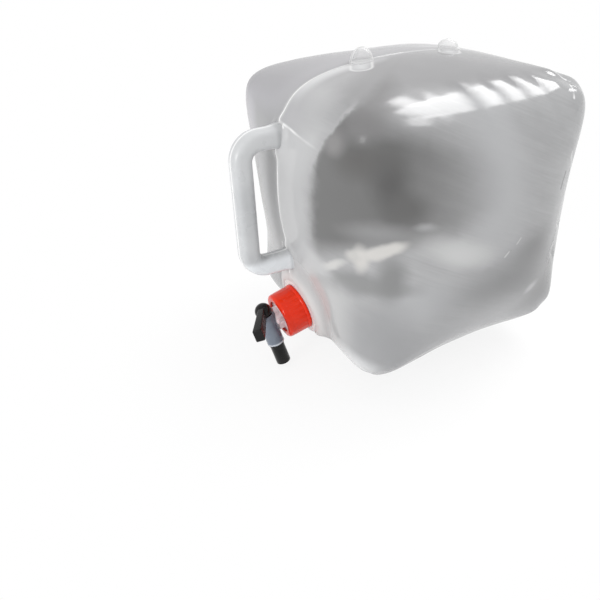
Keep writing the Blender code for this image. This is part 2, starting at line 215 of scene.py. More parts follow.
# Folds across the top edges, where the film has more length than the edge.
for fold, depth, width in (
    (-0.050, 0.0003, 0.0070),
    (-0.013, 0.0009, 0.0066),
    (0.014, 0.0011, 0.0058),
    (0.036, 0.0011, 0.0052),
    (0.056, 0.0011, 0.0050),
    (0.078, 0.0008, 0.0050),
):
    start, end = (0.080, fold - 0.004, 0.268), (0.121, fold + 0.002, 0.232)
    out -= depth * crease(points, start, end, width)
fold_width = 0.0052
for fold, depth in (
    (-0.071, 0.0010),
    (-0.022, 0.0013),
    (0.016, 0.0011),
    (0.044, 0.0012),
    (0.066, 0.0010),
):
    start, end = (-0.080, fold - 0.004, 0.268), (-0.121, fold + 0.002, 0.232)
    out -= depth * crease(points, start, end, fold_width)
for fold, depth in (
    (-0.066, 0.0011),
    (-0.031, 0.0013),
    (0.012, 0.0010),
    (0.037, 0.0013),
    (0.070, 0.0011),
):
    start, end = (fold - 0.002, 0.086, 0.266), (fold + 0.004, 0.121, 0.230)
    out -= depth * crease(points, start, end, fold_width)

# Pinched corners, with short creases that spread from each.
pinch_reach = 0.010
for number, (x, y, z, depth) in enumerate(corner_marks):
    centre = np.array((x, y, z))
    away = points - centre
    outward = Vector((x, y, z - bag_middle)).normalized()
    first = outward.orthogonal().normalized()
    second = outward.cross(first)
    angle = np.arctan2(away @ np.array(second), away @ np.array(first))
    reach = np.linalg.norm(away, axis=1)
    out -= depth * np.exp(-((reach / pinch_reach) ** 2))
    star = np.sin(4 * angle + 1.7 * number)
    out -= 0.20 * depth * star * np.exp(-(((reach - 0.017) / pinch_reach) ** 2))

# Short creases on the drawn-in upright and bottom edges.
for start, end, depth, width in (
    ((0.113, 0.090, 0.098), (0.122, 0.068, 0.118), 0.0017, 0.0040),
    ((0.110, 0.092, 0.128), (0.121, 0.074, 0.141), 0.0013, 0.0035),
    ((0.109, 0.093, 0.160), (0.118, 0.080, 0.168), 0.0010, 0.0035),
    ((-0.113, 0.090, 0.092), (-0.123, 0.066, 0.110), 0.0016, 0.0040),
    ((-0.110, 0.092, 0.135), (-0.121, 0.072, 0.150), 0.0013, 0.0035),
    ((0.060, 0.118, 0.060), (0.085, 0.112, 0.045), 0.0015, 0.0045),
    ((-0.070, 0.116, 0.062), (-0.045, 0.112, 0.043), 0.0015, 0.0045),
    ((0.113, -0.072, 0.036), (0.113, -0.020, 0.040), 0.0016, 0.0040),
    ((-0.113, -0.060, 0.037), (-0.112, 0.010, 0.040), 0.0016, 0.0040),
    ((0.113, 0.094, 0.190), (0.122, 0.080, 0.200), 0.0010, 0.0040),
):
    out -= depth * crease(points, start, end, width)

# A raised fold runs down from the handle's upper root.
out += 0.0012 * crease(points, (0.004, -0.127, 0.2342), (0.062, -0.125, 0.2248), 0.0030)

# Soft dents and swellings in the side panels.
for centre, spread, height in (
    ((0.100, -0.103, 0.150), (0.022, 0.022, 0.0075), 0.0016),
    ((0.137, -0.036, 0.155), (0.03, 0.030, 0.022), 0.0018),
    ((0.130, 0.040, 0.090), (0.03, 0.028, 0.020), 0.0014),
    ((0.115, -0.080, 0.205), (0.03, 0.035, 0.028), -0.0016),
    ((-0.137, 0.020, 0.165), (0.03, 0.034, 0.028), 0.0018),
    ((-0.118, -0.070, 0.100), (0.03, 0.028, 0.022), -0.0014),
    ((0.035, 0.139, 0.120), (0.034, 0.03, 0.026), 0.0016),
    ((-0.045, 0.138, 0.185), (0.030, 0.03, 0.024), -0.0014),
):
    out += height * swell(points, centre, spread)

# The film rises round the neck's boss and the roots of the handle.
to_neck = neck_place.inverted()
turn = np.array(to_neck.to_3x3())
shift = np.array(to_neck.translation)
beside = points @ turn.T + shift
ring_gap = np.hypot(beside[:, 0], beside[:, 1])
neck_zone = 0.03
boss_rise = 0.0022
root_rise = 0.0020
brow_rise = 0.0052
near_neck = np.abs(beside[:, 2]) < neck_zone
out *= np.where(near_neck, np.clip((ring_gap - 0.022) / 0.02, 0, 1), 1.0)
out += np.where(near_neck, boss_rise * np.exp(-(((ring_gap - 0.0325) / 0.0045) ** 2)), 0.0)
for height in (handle_top, handle_bottom):
    gap = np.hypot(points[:, 0], (points[:, 2] - height) / 1.25)
    front = points[:, 1] < -0.09
    out += np.where(front, root_rise * np.exp(-(((gap - 0.0100) / 0.0040) ** 2)), 0.0)
above_neck = swell(points, (0.0, -0.122, 0.0885), (0.026, 0.03, 0.013))
above_neck *= np.clip((ring_gap - 0.020) / 0.010, 0, 1)
out += np.where(near_neck, brow_rise * above_neck, 0.0)
off_ground = np.clip(points[:, 2] / 0.010, 0, 1)
points += normals * (out * off_ground)[:, None]

# A soft fillet joins the film to the boss.
beside = points @ turn.T + shift
ring_gap = np.hypot(beside[:, 0], beside[:, 1])
fillet = np.clip((0.048 - ring_gap) / 0.018, 0, 1) * np.clip((ring_gap - 0.0255) / 0.002, 0, 1)
fillet = np.where(np.abs(beside[:, 2]) < neck_zone, fillet * fillet * (3 - 2 * fillet), 0.0)
beside[:, 2] += fillet * np.clip(-0.0001 - beside[:, 2], 0, 0.0056)
points = (beside - shift) @ turn
points[:, 2] = np.maximum(points[:, 2], 0.0)
film.data.vertices.foreach_set("co", points.ravel())
film.data.update()
film.data.shade_smooth()
shape = bmesh.new()
shape.from_mesh(film.data)
film_surface = BVHTree.FromBMesh(shape)
shape.free()


class Nodes:
    """Short way to write a material's node tree."""

    def __init__(self, name):
        self.material = bpy.data.materials.new(name)
        self.material.use_nodes = True
        self.tree = self.material.node_tree
        self.shader = self.tree.nodes["Principled BSDF"]
        self.place = self.add("ShaderNodeTexCoord").outputs["Object"]
        self.base = None

    def add(self, kind, inputs=None, **settings):
        node = self.tree.nodes.new(kind)
        for name, value in settings.items():
            setattr(node, name, value)
        for name, value in (inputs or {}).items():
            socket = node.inputs[name]
            if isinstance(value, bpy.types.NodeSocket):
                self.tree.links.new(value, socket)
            else:
                socket.default_value = value
        return node

    def math(self, operation, *values, clamp=False):
        node = self.add("ShaderNodeMath", dict(enumerate(values)), operation=operation)
        node.use_clamp = clamp
        return node.outputs[0]

    def times(self, *factors):
        whole = factors[0]
        for factor in factors[1:]:
            whole = self.math("MULTIPLY", whole, factor)
        return whole

    def vector(self, operation, *values, result="Vector", **more):
        inputs = {**dict(enumerate(values)), **more}
        return self.add("ShaderNodeVectorMath", inputs, operation=operation).outputs[result]

    def split(self, vector=None):
        """The X, Y and Z of a vector, or else of the place on the piece."""
        return self.add("ShaderNodeSeparateXYZ", {0: vector or self.place}).outputs

    def stretched(self, scale, lean=0.0):
        """Object coordinates drawn out for a streaky pattern that leans about X."""
        inputs = {"Vector": self.place, "Scale": tuple(1 / s for s in scale)}
        inputs["Rotation"] = (lean, 0.0, 0.0)
        return self.add("ShaderNodeMapping", inputs, vector_type="TEXTURE").outputs["Vector"]

    def cloud(self, scale, detail=4.0, vector=None, roughness=0.5):
        inputs = {"Vector": vector or self.place, "Scale": scale}
        inputs.update({"Detail": detail, "Roughness": roughness})
        return self.add("ShaderNodeTexNoise", inputs).outputs["Fac"]

    def between(self, value, low, high, to_low=0.0, to_high=1.0, smooth=True):
        kind = "SMOOTHSTEP" if smooth else "LINEAR"
        inputs = {"Value": value, "From Min": low, "From Max": high}
        inputs.update({"To Min": to_low, "To Max": to_high})
        return self.add("ShaderNodeMapRange", inputs, interpolation_type=kind).outputs["Result"]

    def mix(self, factor, first, second):
        node = self.add("ShaderNodeMix", data_type="RGBA")
        for index, value in ((0, factor), (6, first), (7, second)):
            if isinstance(value, bpy.types.NodeSocket):
                self.tree.links.new(value, node.inputs[index])
            else:
                node.inputs[index].default_value = value
        return node.outputs[2]

    def paint(self, colour, *masks):
        """Lay a colour over the ones before it, as far as all its masks reach."""
        self.base = self.mix(self.times(*masks), self.base, colour)

    def stroke(self, start, end, width, fading=False):
        """A line on the surface from start to end: 1 on it, 0 a width away."""
        start, run = Vector(start), Vector(end) - Vector(start)
        off = self.vector("SUBTRACT", self.place, tuple(start))
        share = self.vector("DOT_PRODUCT", off, tuple(run / run.length_squared), result="Value")
        share = self.math("ADD", share, 0.0, clamp=True)
        near = self.vector("SCALE", tuple(run), Scale=share)
        mask = self.between(self.vector("DISTANCE", off, near, result="Value"), width, 0.0)
        if fading:
            mask = self.times(mask, self.between(share, 1.0, 0.3))
        return mask

    def link(self, socket, name):
        self.tree.links.new(socket, self.shader.inputs[name])

    def bump(self, height, strength, distance):
        inputs = {"Height": height, "Strength": strength, "Distance": distance}
        self.link(self.add("ShaderNodeBump", inputs).outputs["Normal"], "Normal")

    def set(self, **values):
        for name, value in values.items():
            self.shader.inputs[name.replace("_", " ")].default_value = value


def grey(level, warm=0.0):
    return (level * (1 + warm), level, level * (1 - warm), 1.0)


def film_material():
    """Frosted film, with light and shade painted into its colour.

    The painted highlights, light bands and dark reflections are placed by the height
    and by the angle round the bag, 0 degrees in the middle of the front and 180 behind.
    """
    n = Nodes("frosted_film")
    wander = n.add("ShaderNodeTexNoise", {"Vector": n.place, "Scale": 14.0, "Detail": 4.0})
    sway = n.vector("SUBTRACT", wander.outputs["Color"], (0.5, 0.5, 0.5))
    moved = n.vector("ADD", n.place, n.vector("SCALE", sway, Scale=0.022))

    def angle_round(x, y):
        turn = n.math("ARCTAN2", n.math("ABSOLUTE", x), n.times(y, -1.0))
        return n.times(turn, 180 / math.pi)

    moved_x, moved_y, height = n.split(moved)
    around = angle_round(moved_x, moved_y)
    x, y, z = n.split()
    around_exact = angle_round(x, y)

    def spot(degrees, level, wide, tall, soft=0.8, lean=0.0):
        """A soft oval about an angle and a height; lean tips its long axis."""
        aside = n.math("SUBTRACT", around, degrees)
        above = n.math("ADD", n.math("SUBTRACT", height, level), n.times(aside, lean))
        far = n.math("POWER", n.math("DIVIDE", aside, wide), 2.0)
        far = n.math("ADD", far, n.math("POWER", n.math("DIVIDE", above, tall), 2.0))
        return n.between(n.math("SQRT", far), 1.0 + soft, 1.0 - soft)

    def tint(level, red=-0.006, blue=0.012):
        return (level * (1 + red), level, level * (1 + blue), 1.0)

    def paint_spots(*rows):
        for place, tone in rows:
            n.paint(tint(*tone), spot(*place))

    lean = math.radians(-26)
    streak = n.cloud(1.0, 7.0, n.stretched((14.0, 14.0, 70.0), lean), 0.60)
    brushed = n.cloud(1.0, 6.0, n.stretched((20.0, 20.0, 620.0), lean), 0.6)
    streak = n.math("ADD", n.times(streak, 0.65), n.times(brushed, 0.35))
    n.base = n.mix(n.between(streak, 0.34, 0.66), tint(0.320), tint(0.370))
    n.paint(tint(0.405, -0.008, 0.02), spot(86, 0.195, 10, 0.055, 0.9))
    # The lower part of the sides, with patches of painted shade and of painted light.
    n.paint(tint(0.330, -0.010, 0.022), n.between(height, 0.11, 0.05))
    paint_spots(
        ((62, 0.106, 11, 0.018), (0.375, -0.01, 0.02)),
        ((95, 0.105, 19, 0.021, 0.95), (0.210, -0.010)),
        ((104, 0.130, 9, 0.017, 0.95), (0.20,)),
        ((124, 0.082, 13, 0.028, 0.98), (0.19,)),
        ((111, 0.087, 3.0, 0.005), (0.40,)),
        ((49, 0.075, 9, 0.026, 0.9), (0.285, -0.010, 0.022)),
        ((36, 0.114, 5, 0.008, 0.9), (0.235, -0.010, 0.02)),
    )
    # A painted dark reflection over the upper part of the sides. Near the top
    # its front edge is crisp, with a painted lighter rim.
    edge = n.between(z, 0.155, 0.260, smooth=False)
    edge = n.math("MULTIPLY_ADD", n.math("POWER", edge, 2.6), 19.0, 20.0)
    wobble = n.math("MULTIPLY_ADD", n.cloud(110.0, 5.0), 4.0, -2.0)
    inside = n.math("ADD", n.math("SUBTRACT", around_exact, edge), wobble)
    crisp = n.times(n.between(z, 0.198, 0.226), n.between(z, 0.263, 0.252))
    inside = n.times(inside, n.math("MULTIPLY_ADD", crisp, 3.0, 1.0))
    rim = n.times(n.between(inside, -9.0, -4.0), n.between(inside, 0.0, -3.0), crisp)
    inside = n.between(inside, -3.5, 5.5)
    beside = n.between(around, 94.0, 50.0)
    past_corner = n.math("SUBTRACT", around, 35.0)
    above = n.between(n.math("MULTIPLY_ADD", past_corner, -0.0006, height), 0.134, 0.160)
    below = n.between(n.math("MULTIPLY_ADD", past_corner, 0.0009, height), 0.275, 0.246)
    n.paint(tint(0.125, 0.0, -0.004), inside, beside, above, below)
    # Painted shade deepens the dark reflection's core; its foot is painted a little lighter.
    paint_spots(
        ((43, 0.222, 8, 0.011, 0.9), (0.092, 0.02, -0.02)),
        ((51, 0.203, 5, 0.021, 0.9), (0.070, 0.01, -0.01)),
        ((55, 0.186, 6, 0.010, 0.9), (0.090, 0.01, -0.01)),
        ((47, 0.165, 10, 0.007, 0.98), (0.22, -0.005, 0.01)),
    )
    # The dark reflection is painted a little lighter where it nears the front.
    n.paint(tint(0.21, 0.02, 0.0), spot(33, 0.236, 4, 0.008), inside)
    # Painted highlights where the film catches the light, and painted shade between them.
    paint_spots(
        ((42, 0.1195, 15, 0.0085, 0.6), (0.225, -0.012, 0.004)),
        ((51, 0.128, 4.5, 0.018, 0.7), (0.20, -0.012, 0.004)),
        ((72.5, 0.1485, 10, 0.0110, 0.85, 0.0006), (0.49, -0.004, 0.0)),
        ((61, 0.172, 3, 0.0026, 0.95), (0.29,)),
        ((27.5, 0.1275, 6.5, 0.0036, 0.6, -0.001), (0.51, 0.01, -0.02)),
        ((40.5, 0.1410, 2.9, 0.0108, 0.6, -0.0006), (0.50, 0.022, -0.035)),
        ((37.5, 0.1420, 2.4, 0.0050, 0.7), (0.46, 0.018, -0.03)),
        ((45.5, 0.1470, 4.0, 0.0056, 0.6, -0.0006), (0.51, 0.022, -0.035)),
        ((49.5, 0.1515, 5.0, 0.0050, 0.55, -0.0011), (0.51, 0.022, -0.035)),
    )
    # The top is painted a little darker, as shade, with a faint rosy tone, and a painted highlight
    # lies on the bend over the front.
    n.paint(tint(0.270, 0.002, 0.014), n.between(height, 0.251, 0.264))
    # The dark reflection's painted shade reaches onto the top here.
    n.paint(tint(0.19, 0.012, 0.006), spot(42, 0.252, 7, 0.012), inside)
    # The painted lighter rim along the dark reflection's front edge.
    rim = n.times(rim, n.between(around, 30.0, 38.0), n.between(around, 62.0, 50.0))
    n.paint(tint(0.42, 0.01, 0.02), rim)
    n.paint(tint(0.44, 0.0, 0.012), spot(14, 0.256, 12, 0.012))
    # The far half is painted lighter and a little rosy, as light, less so along its top.
    lighter_far_half = n.times(n.between(x, 0.02, -0.04), n.between(z, 0.16, 0.22))
    n.paint(tint(0.415, 0.016, 0.06), lighter_far_half)
    n.paint(tint(0.345, 0.010, 0.035), lighter_far_half, n.between(z, 0.235, 0.262))
    # A painted light band down the front, about the handle, the neck and the
    # parting line, lighter right of the line than left of it.
    reach = n.between(z, 0.142, 0.120, 21.0, 30.0)
    reach = n.math("MAXIMUM", n.math("MINIMUM", edge, 60.0), reach)
    band = n.between(n.math("SUBTRACT", around_exact, reach), 3.0, -7.5)
    right_half = n.between(x, -0.003, 0.002)
    aside = n.math("ABSOLUTE", x)
    bright = n.mix(right_half, tint(0.33), tint(0.465, -0.002, 0.010))
    n.paint(bright, band, n.between(z, 0.254, 0.226))
    # A painted highlight beside the parting line, high on the front.
    along_line = n.times(n.between(aside, 0.020, 0.003), n.between(z, 0.222, 0.240), right_half)
    n.paint(tint(0.60, 0.0, 0.012), along_line, n.between(y, -0.02, -0.07))
    # Painted shade above the fold from the handle's upper root, and painted light below it.
    near_root = n.times(n.between(aside, 0.055, 0.006), right_half)
    under = n.math("SUBTRACT", n.math("MULTIPLY_ADD", aside, -0.16, 0.2350), z)
    over_fold = n.times(n.between(under, 0.0, -0.0016), n.between(under, -0.030, -0.010))
    n.paint(tint(0.405, 0.004, 0.026), near_root, over_fold)
    under_fold = n.times(n.between(under, 0.0, 0.0016), n.between(under, 0.045, 0.012))
    n.paint(tint(0.51, -0.002, 0.010), near_root, under_fold)
    # The lower front right of the line is painted lighter, as light.
    lower = n.times(n.between(z, 0.125, 0.095), n.between(around_exact, 42, 28))
    n.paint(tint(0.47, -0.002, 0.002), lower, right_half)
    # A painted highlight low on the front corner.
    n.paint(tint(0.66), spot(38, 0.040, 8, 0.010), right_half)
    n.paint(grey(0.66), n.between(aside, 0.0042, 0.0005), 0.5)
    # A painted highlight along the raised fold from the handle's upper root.
    fold = n.stroke((0.008, -0.1272, 0.2337), (0.062, -0.1250, 0.2250), 0.0017, fading=True)
    n.paint(grey(0.86), fold, 0.8)
    # Painted highlights and glints along the creases, and painted shade where the film pinches in.
    for start, end, width, level in (
        ((0.0078, -0.1281, 0.2324), (0.0090, -0.1277, 0.2310), 0.0015, 0.95),
        ((0.0837, 0.0838, 0.2589), (0.0946, 0.0906, 0.2517), 0.0015, 0.92),
        ((0.1010, 0.0885, 0.2505), (0.1040, 0.0866, 0.2491), 0.0013, 0.88),
        ((0.1040, 0.0866, 0.2491), (0.1130, 0.0818, 0.2420), 0.0015, 0.92),
        ((0.1409, 0.0101, 0.1430), (0.1407, 0.0138, 0.1472), 0.0011, 0.52),
        ((0.1407, -0.0012, 0.1344), (0.1410, 0.0023, 0.1380), 0.0012, 0.58),
        ((0.1211, 0.0729, 0.0984), (0.1190, 0.0780, 0.1070), 0.0026, 0.10),
        ((0.1190, 0.0780, 0.1070), (0.1155, 0.0845, 0.1140), 0.0022, 0.08),
        ((0.1132, 0.0872, 0.1260), (0.1140, 0.0865, 0.1330), 0.0020, 0.12),
        ((0.1273, 0.0666, 0.1737), (0.1240, 0.0726, 0.1850), 0.0024, 0.10),
    ):
        n.paint(grey(level), n.stroke(start, end, width), 0.8)
    # In front of each lug the film is painted lighter, with a paler outline.
    for start, end in (
        ((0.0040, -0.0500, 0.2715), (0.0175, -0.0585, 0.2700)),
        ((0.0030, 0.0425, 0.2725), (0.0160, 0.0325, 0.2712)),
    ):
        glow = n.stroke(start, end, 0.0125)
        outline = n.between(n.math("ABSOLUTE", n.math("SUBTRACT", glow, 0.22)), 0.20, 0.0)
        n.paint(tint(0.66), glow, 0.75)
        n.paint(grey(0.80), outline, 0.55)
    gap = n.vector("DISTANCE", n.place, tuple(neck_place.translation), result="Value")
    n.paint((0.625, 0.620, 0.615, 1), n.between(gap, 0.046, 0.033))
    n.link(n.base, "Base Color")
    rough = n.between(n.cloud(26.0, 3.0), 0.35, 0.7, 0.11, 0.17)
    rough = n.math("ADD", rough, n.between(gap, 0.065, 0.040, 0.0, 0.55))
    rough = n.math("ADD", rough, n.times(spot(41, 0.245, 11, 0.020, 0.98), 0.085))
    n.link(rough, "Roughness")
    # The gloss is worn off at the front corner and along the folds over the top edge.
    gloss = n.between(gap, 0.060, 0.038, 0.5, 0.12)
    worn = n.times(spot(40.5, 0.243, 8, 0.014, 0.9), -0.88)
    gloss = n.times(gloss, n.math("ADD", worn, 1.0))
    for fold, width in (
        (-0.013, 0.0150),
        (0.014, 0.0105),
        (0.036, 0.0090),
        (0.056, 0.0075),
        (0.077, 0.0060),
    ):
        worn = n.stroke((0.088, fold - 0.004, 0.2625), (0.119, fold + 0.002, 0.2370), width)
        gloss = n.times(gloss, n.math("SUBTRACT", 1.0, worn))
    n.link(gloss, "Specular IOR Level")
    fine = n.cloud(1.0, 8.0, n.stretched((60.0, 60.0, 420.0)), 0.65)
    marks = n.add(
        "ShaderNodeTexWave",
        {"Vector": n.stretched((1.0, 3.0, 2.2)), "Scale": 34.0, "Distortion": 9.0, "Detail": 5.0},
    ).outputs["Fac"]
    grain = n.times(n.math("ADD", n.times(fine, 0.8), n.times(marks, 0.2)), 0.08)
    # Fine sharp creases, where folds in the film have left a line.
    for start, end, width in (
        ((0.1245, 0.064, 0.106), (0.1215, 0.075, 0.132), 0.0022),
        ((0.1260, 0.058, 0.118), (0.1225, 0.070, 0.140), 0.0016),
        ((0.1205, 0.080, 0.160), (0.1180, 0.085, 0.184), 0.0022),
        ((0.1390, -0.002, 0.1345), (0.1405, 0.004, 0.1385), 0.0013),
        ((0.1385, 0.013, 0.1445), (0.1390, 0.019, 0.1495), 0.0013),
        ((0.0960, 0.083, 0.2570), (0.1050, 0.092, 0.2480), 0.0022),
        ((0.1000, 0.088, 0.2540), (0.1080, 0.094, 0.2340), 0.0020),
        ((0.0880, 0.078, 0.2600), (0.1010, 0.088, 0.2540), 0.0020),
        ((-0.0960, 0.085, 0.2570), (-0.1070, 0.093, 0.2440), 0.0022),
        ((-0.0890, 0.090, 0.2570), (-0.1010, 0.096, 0.2470), 0.0020),
        ((-0.1260, 0.058, 0.100), (-0.1210, 0.076, 0.128), 0.0022),
        ((-0.1205, 0.079, 0.150), (-0.1190, 0.084, 0.176), 0.0020),
        ((0.070, 0.1180, 0.062), (0.092, 0.1130, 0.050), 0.0022),
        ((-0.062, 0.1190, 0.064), (-0.040, 0.1230, 0.052), 0.0022),
    ):
        grain = n.math("ADD", grain, n.times(n.stroke(start, end, width), 1.2))
    n.bump(grain, 1.0, 0.0005)
    n.set(IOR=1.51, Alpha=0.88)
    return n.material


film.data.materials.append(film_material())
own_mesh(film)
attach(film, "carrier")
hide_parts("body_shell")

# The parting line
# A fine bead that the two mould halves squeeze out where they meet. It stands
# out from above the neck to the middle of the top, and is pale further round.
bead_radius = 0.00062
bead_sides = 8
line_low = 0.093
line_from = -112  # degrees up from straight ahead
line_to = 88
line_steps = 360


def maker_tree(name, **kinds):
    """A new Geometry Nodes group with inputs of these kinds, and their identifiers."""
    tree = bpy.data.node_groups.new(name, "GeometryNodeTree")
    sockets = tree.interface
    geometry = "NodeSocketGeometry"
    sockets.new_socket("Geometry", in_out="INPUT", socket_type=geometry)
    called = {}
    for socket, kind in kinds.items():
        made = sockets.new_socket(socket, in_out="INPUT", socket_type="NodeSocket" + kind)
        called[socket] = made.identifier
    sockets.new_socket("Geometry", in_out="OUTPUT", socket_type=geometry)
    return tree, called


def joined_nodes(tree, kinds, links):
    """Add nodes of these kinds to a group and link them up."""
    nodes = {name: tree.nodes.new(kind) for name, kind in kinds.items()}
    for first, output, second, given in links:
        tree.links.new(nodes[first].outputs[output], nodes[second].inputs[given])
    return nodes


bead_nodes, bead_inputs = maker_tree(
    "bead_along_path", radius="Float", sides="Int", finish="Material"
)
parts = joined_nodes(
    bead_nodes,
    {
        "start": "NodeGroupInput",
        "curve": "GeometryNodeMeshToCurve",
        "circle": "GeometryNodeCurvePrimitiveCircle",
        "tube": "GeometryNodeCurveToMesh",
        "real": "GeometryNodeRealizeInstances",
        "paint": "GeometryNodeSetMaterial",
        "end": "NodeGroupOutput",
    },
    (
        ("start", "Geometry", "curve", "Mesh"),
        ("start", "sides", "circle", "Resolution"),
        ("start", "radius", "circle", "Radius"),
        ("curve", "Curve", "tube", "Curve"),
        ("circle", "Curve", "tube", "Profile Curve"),
        ("tube", "Mesh", "real", "Geometry"),
        ("real", "Geometry", "paint", "Geometry"),
        ("start", "finish", "paint", "Material"),
        ("paint", "Geometry", "end", "Geometry"),
    ),
)
parts["tube"].inputs["Fill Caps"].default_value = True


def made_by(piece, tree, called, **values):
    """Run a Geometry Nodes group on a piece and keep its result as plain mesh."""
    maker = piece.modifiers.new("maker", "NODES")
    maker.node_group = tree
    for name, value in values.items():
        maker[called[name]] = value
    return settled(piece)


def bead(name, path, radius, sides, finish):
    """A bead along a path, as a plain closed mesh."""
    mesh = bpy.data.meshes.new(name)
    mesh.from_pydata([tuple(p) for p in path], [(i, i + 1) for i in range(len(path) - 1)], [])
    piece = shown(name, mesh)
    made_by(piece, bead_nodes, bead_inputs, radius=radius, sides=sides, finish=finish)
    weld = bmesh.new()
    weld.from_mesh(piece.data)
    bmesh.ops.remove_doubles(weld, verts=weld.verts, dist=radius / 40)
    bmesh.ops.recalc_face_normals(weld, faces=weld.faces)
    weld.to_mesh(piece.data)
    weld.free()
    piece.data.shade_smooth()
    return piece


def ridge_material():
    """Thicker, whiter plastic of the squeezed-out bead."""
    n = Nodes("parting_bead")
    n.base = n.mix(n.between(n.cloud(55.0, 3.0), 0.35, 0.65), grey(0.66), grey(0.80))
    n.paint(grey(0.52), n.between(n.split()["Z"], 0.258, 0.272))
    n.link(n.base, "Base Color")
    n.link(n.between(n.cloud(90.0), 0.3, 0.7, 0.22, 0.34), "Roughness")
    n.bump(n.cloud(420.0), 0.15, 0.0002)
    n.set(IOR=1.51)
    return n.material


middle = Vector((0.0, 0.0, bag_middle))
line = []
for step in range(line_steps + 1):
    angle = math.radians(line_from + (line_to - line_from) * step / line_steps)
    ray = Vector((0.0, -math.cos(angle), math.sin(angle)))
    hit = film_surface.ray_cast(middle, ray)[0]
    line.append(hit - ray * bead_radius * 0.35)
line = [spot for spot in line if spot.z > line_low]
ridge = bead("parting_line", line, bead_radius, bead_sides, ridge_material())
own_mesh(ridge)
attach(ridge, "carrier")

# The two lugs
# Hollow domes on top where the hot tube of plastic was pinched and blown out.
# They are one with the film, and thin enough to see through.
lug_radius = 0.0097
foot_flare = 0.05
pinch_rise = 0.0002
lugs = (("lug_front", -0.0472, 0.0115), ("lug_back", 0.0433, 0.0090))


def lug_material():
    """Clear blown film, milky at the dome's rim, its foot and its seam."""
    n = Nodes("lug_film")
    n.link(n.mix(n.between(n.cloud(60.0, 3.0), 0.4, 0.65), grey(0.66), grey(0.80)), "Base Color")
    n.link(n.between(n.cloud(120.0), 0.3, 0.7, 0.08, 0.14), "Roughness")
    facing = n.add("ShaderNodeLayerWeight", {"Blend": 0.5}).outputs["Facing"]
    level = n.add("ShaderNodeAttribute", attribute_name="level").outputs["Fac"]
    foot = n.between(level, 0.16, 0.06)
    seam = n.between(n.math("ABSOLUTE", n.split()["X"]), 0.0011, 0.0002)
    clear = n.between(facing, 0.35, 0.90, 0.30, 0.92)
    clear = n.math("MAXIMUM", clear, n.times(foot, 0.45))
    n.link(n.math("MAXIMUM", clear, n.times(seam, 0.75)), "Alpha")
    n.bump(n.cloud(160.0, 2.0), 0.03, 0.0003)
    n.set(IOR=1.51)
    return n.material


lug_finish = lug_material()
for name, along, height in lugs:
    seat = film_surface.ray_cast(Vector((0.0, along, 0.5)), Vector((0.0, 0.0, -1.0)))[0]
    shape = bmesh.new()
    bmesh.ops.create_uvsphere(shape, u_segments=72, v_segments=48, radius=1)
    # Blender lists the ball's faces in another order each run, so they are sorted.
    shape.verts.index_update()
    ranked = sorted(shape.faces, key=lambda face: [vert.index for vert in face.verts])
    for number, face in enumerate(ranked):
        face.index = number
    shape.faces.sort()
    for vert in shape.verts:
        rise = vert.co.z
        foot = math.exp(-((rise / 0.12) ** 2))
        pinch = math.exp(-((vert.co.x / 0.10) ** 2)) * max(0.0, rise)
        across = lug_radius * (1 + foot_flare * foot)
        place = (vert.co.x * across, vert.co.y * across, rise * height + pinch_rise * pinch)
        vert.co = seat + Vector(place)
    mesh = meshed(name, shape)
    level = mesh.attributes.new("level", "FLOAT", "POINT")
    level.data.foreach_set("value", [max(v.co.z - seat.z, 0.0) / height for v in mesh.vertices])
    lug = shown(name, mesh)
    lug.data.shade_smooth()
    lug.data.materials.append(lug_finish)
    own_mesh(lug)
    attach(lug, "carrier")

# The carry handle
# A hollow loop blown with the bag: two bars grow out of the front ridge and a
# squarish round grip joins them. It is thicker and whiter than the film.
handle_radius = 0.0089
grip_line = -0.16445
handle_bend = 0.0165
root_reach = 0.010
root_flare = 0.16
handle_sides = 64
squareness = 3.2
seam_rise = 0.00042
flare_fade = 0.0060
groove_off = 0.0026
groove_width = 0.0018


def handle_path():
    """Points along the loop's middle line, each with its distance off the bag."""
    top_root, low_root = (
        film_surface.ray_cast(Vector((0, -0.2, height)), Vector((0, 1, 0)))[0].y
        for height in (handle_top, handle_bottom)
    )
    bend = grip_line + handle_bend
    low, high = handle_bottom + handle_bend, handle_top - handle_bend

    def bent(height, quarter, steps):
        """Points round a bend, away from the bag by more than its roots reach."""
        for step in steps:
            angle = math.pi / 2 * (quarter + step / 16)
            off = Vector((0.0, math.cos(angle), math.sin(angle)))
            yield Vector((0.0, bend, height)) + handle_bend * off, 1.0

    path = []
    for step in range(37):
        y = top_root + root_reach + (bend - top_root - root_reach) * step / 36
        path.append((Vector((0.0, y, handle_top)), top_root - y))
    path += bent(high, 1, range(1, 17))
    for step in range(1, 50):
        path.append((Vector((0.0, grip_line, high + (low - high) * step / 50)), 1.0))
    path += bent(low, 2, range(17))
    for step in range(1, 37):
        y = bend + (low_root + root_reach - bend) * step / 36
        path.append((Vector((0.0, y, handle_bottom)), low_root - y))
    return path


